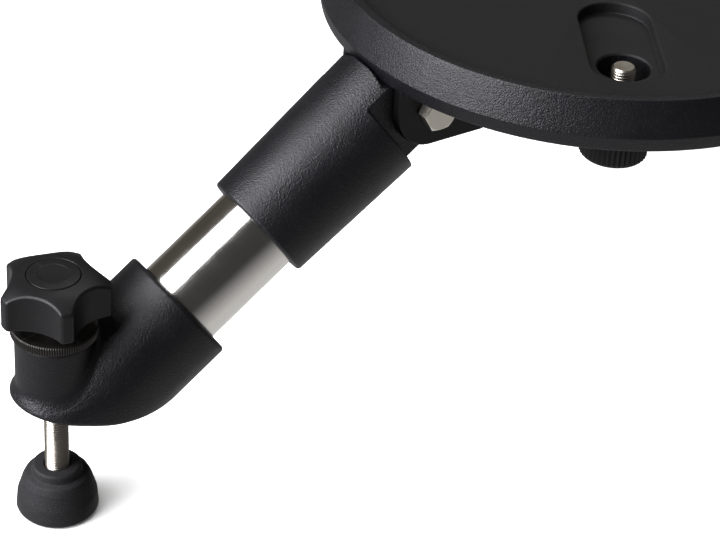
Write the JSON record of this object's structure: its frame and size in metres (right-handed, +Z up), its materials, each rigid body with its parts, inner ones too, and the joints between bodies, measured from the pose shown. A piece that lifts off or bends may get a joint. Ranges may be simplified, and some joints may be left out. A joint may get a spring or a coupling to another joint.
{
  "type": "star tracker tripod base",
  "caption": "Low three-legged base: round recessed tray with captive bolts, folding tubular legs and levelling feet with star knobs",
  "frame": {"origin": "centre of the tray's flat mounting face", "axes": "+Z up out of the tray; +Y towards leg 3; legs at azimuths 90, 210 and 330 degrees, captive bolts at 30, 150 and 270 degrees"},
  "size_m": [0.4832, 0.4281, 0.1884],
  "materials": {
    "powder_coat": "fine-textured black powder coat",
    "satin_black": "smooth satin black",
    "brushed_tube": "polished stainless tube with a fine lengthwise grain",
    "bright_steel": "turned stainless",
    "black_hardware": "black oxide",
    "black_plastic": "satin moulded plastic",
    "black_rubber": "dull rubber"
  },
  "bodies": {
    "tray": {"tray_casting": "powder_coat", "fork_bracket_1": "satin_black", "fork_bracket_2": "satin_black", "fork_bracket_3": "satin_black", "bracket_screw_1a": "black_hardware", "bracket_screw_1b": "black_hardware", "bracket_screw_2a": "black_hardware", "bracket_screw_2b": "black_hardware", "bracket_screw_3a": "black_hardware", "bracket_screw_3b": "black_hardware", "pivot_bolt_1": "bright_steel", "pivot_bolt_2": "bright_steel", "pivot_bolt_3": "bright_steel", "pivot_nut_1": "bright_steel", "pivot_nut_2": "bright_steel", "pivot_nut_3": "bright_steel"},
    "leg_1": {"leg_casting_1": "powder_coat", "leg_tube_1": "brushed_tube", "upper_set_screw_1": "black_hardware", "lower_set_screw_1": "black_hardware", "foot_casting_1": "powder_coat"},
    "lock_ring_1": {"lock_ring_1": "black_hardware"},
    "foot_1": {"rubber_foot_1": "black_rubber", "foot_insert_1": "bright_steel"},
    "screw_1": {"levelling_screw_1": "bright_steel", "star_knob_1": "black_plastic", "knob_cap_1": "black_plastic"},
    "leg_2": {"leg_casting_2": "powder_coat", "leg_tube_2": "brushed_tube", "upper_set_screw_2": "black_hardware", "lower_set_screw_2": "black_hardware", "foot_casting_2": "powder_coat"},
    "lock_ring_2": {"lock_ring_2": "black_hardware"},
    "foot_2": {"rubber_foot_2": "black_rubber", "foot_insert_2": "bright_steel"},
    "screw_2": {"levelling_screw_2": "bright_steel", "star_knob_2": "black_plastic", "knob_cap_2": "black_plastic"},
    "leg_3": {"leg_casting_3": "powder_coat", "leg_tube_3": "brushed_tube", "upper_set_screw_3": "black_hardware", "lower_set_screw_3": "black_hardware", "foot_casting_3": "powder_coat"},
    "lock_ring_3": {"lock_ring_3": "black_hardware"},
    "foot_3": {"rubber_foot_3": "black_rubber", "foot_insert_3": "bright_steel"},
    "screw_3": {"levelling_screw_3": "bright_steel", "star_knob_3": "black_plastic", "knob_cap_3": "black_plastic"},
    "clip_1": {"retaining_clip_1": "bright_steel"},
    "captive_bolt_1": {"captive_bolt_1": "bright_steel", "bolt_knob_1": "black_plastic"},
    "clip_2": {"retaining_clip_2": "bright_steel"},
    "captive_bolt_2": {"captive_bolt_2": "bright_steel", "bolt_knob_2": "black_plastic"},
    "clip_3": {"retaining_clip_3": "bright_steel"},
    "captive_bolt_3": {"captive_bolt_3": "bright_steel", "bolt_knob_3": "black_plastic"}
  },
  "joints": [
    {"name": "leg_1_fold", "type": "hinge", "parent": "tray", "child": "leg_1", "pos_m": [-0.08314, -0.048, -0.0297], "axis": [0.5, -0.866, 0], "range_deg": [0, 54]},
    {"name": "lock_ring_1_turn", "type": "hinge", "parent": "leg_1", "child": "lock_ring_1", "pos_m": [-0.22081, -0.12748, -0.0966], "axis": [0, 0, 1], "continuous": true},
    {"name": "foot_1_height", "type": "slide", "parent": "leg_1", "child": "foot_1", "axis": [0, 0, 1], "range_m": [-0.004, 0.03]},
    {"name": "screw_1_turn", "type": "hinge", "parent": "foot_1", "child": "screw_1", "pos_m": [-0.22081, -0.12748, -0.186], "axis": [0, 0, 1], "range_deg": [-1152.5, 8640.5]},
    {"name": "leg_2_fold", "type": "hinge", "parent": "tray", "child": "leg_2", "pos_m": [0.08314, -0.048, -0.0297], "axis": [0.5, 0.866, 0], "range_deg": [0, 54]},
    {"name": "lock_ring_2_turn", "type": "hinge", "parent": "leg_2", "child": "lock_ring_2", "pos_m": [0.22081, -0.12748, -0.0966], "axis": [0, 0, 1], "continuous": true},
    {"name": "foot_2_height", "type": "slide", "parent": "leg_2", "child": "foot_2", "axis": [0, 0, 1], "range_m": [-0.004, 0.03]},
    {"name": "screw_2_turn", "type": "hinge", "parent": "foot_2", "child": "screw_2", "pos_m": [0.22081, -0.12748, -0.186], "axis": [0, 0, 1], "range_deg": [-1152.5, 8640.5]},
    {"name": "leg_3_fold", "type": "hinge", "parent": "tray", "child": "leg_3", "pos_m": [0, 0.096, -0.0297], "axis": [-1, 0, 0], "range_deg": [0, 54]},
    {"name": "lock_ring_3_turn", "type": "hinge", "parent": "leg_3", "child": "lock_ring_3", "pos_m": [0, 0.25496, -0.0966], "axis": [0, 0, 1], "continuous": true},
    {"name": "foot_3_height", "type": "slide", "parent": "leg_3", "child": "foot_3", "axis": [0, 0, 1], "range_m": [-0.004, 0.03]},
    {"name": "screw_3_turn", "type": "hinge", "parent": "foot_3", "child": "screw_3", "pos_m": [0, 0.25496, -0.186], "axis": [0, 0, 1], "range_deg": [-1152.5, 8640.5]},
    {"name": "bolt_1_lift", "type": "slide", "parent": "tray", "child": "clip_1", "axis": [0, 0, 1], "range_m": [0, 0.013]},
    {"name": "bolt_1_turn", "type": "hinge", "parent": "clip_1", "child": "captive_bolt_1", "pos_m": [0, -0.0735, -0.0175], "axis": [0, 0, 1], "continuous": true},
    {"name": "bolt_2_lift", "type": "slide", "parent": "tray", "child": "clip_2", "axis": [0, 0, 1], "range_m": [0, 0.013]},
    {"name": "bolt_2_turn", "type": "hinge", "parent": "clip_2", "child": "captive_bolt_2", "pos_m": [0.06365, 0.03675, -0.0175], "axis": [0, 0, 1], "continuous": true},
    {"name": "bolt_3_lift", "type": "slide", "parent": "tray", "child": "clip_3", "axis": [0, 0, 1], "range_m": [0, 0.013]},
    {"name": "bolt_3_turn", "type": "hinge", "parent": "clip_3", "child": "captive_bolt_3", "pos_m": [-0.06365, 0.03675, -0.0175], "axis": [0, 0, 1], "continuous": true}
  ],
  "couplings": [
    {"joint": "screw_1_turn", "follows": "foot_1_height", "rad_per_m": 5026.5},
    {"joint": "screw_2_turn", "follows": "foot_2_height", "rad_per_m": 5026.5},
    {"joint": "screw_3_turn", "follows": "foot_3_height", "rad_per_m": 5026.5}
  ]
}
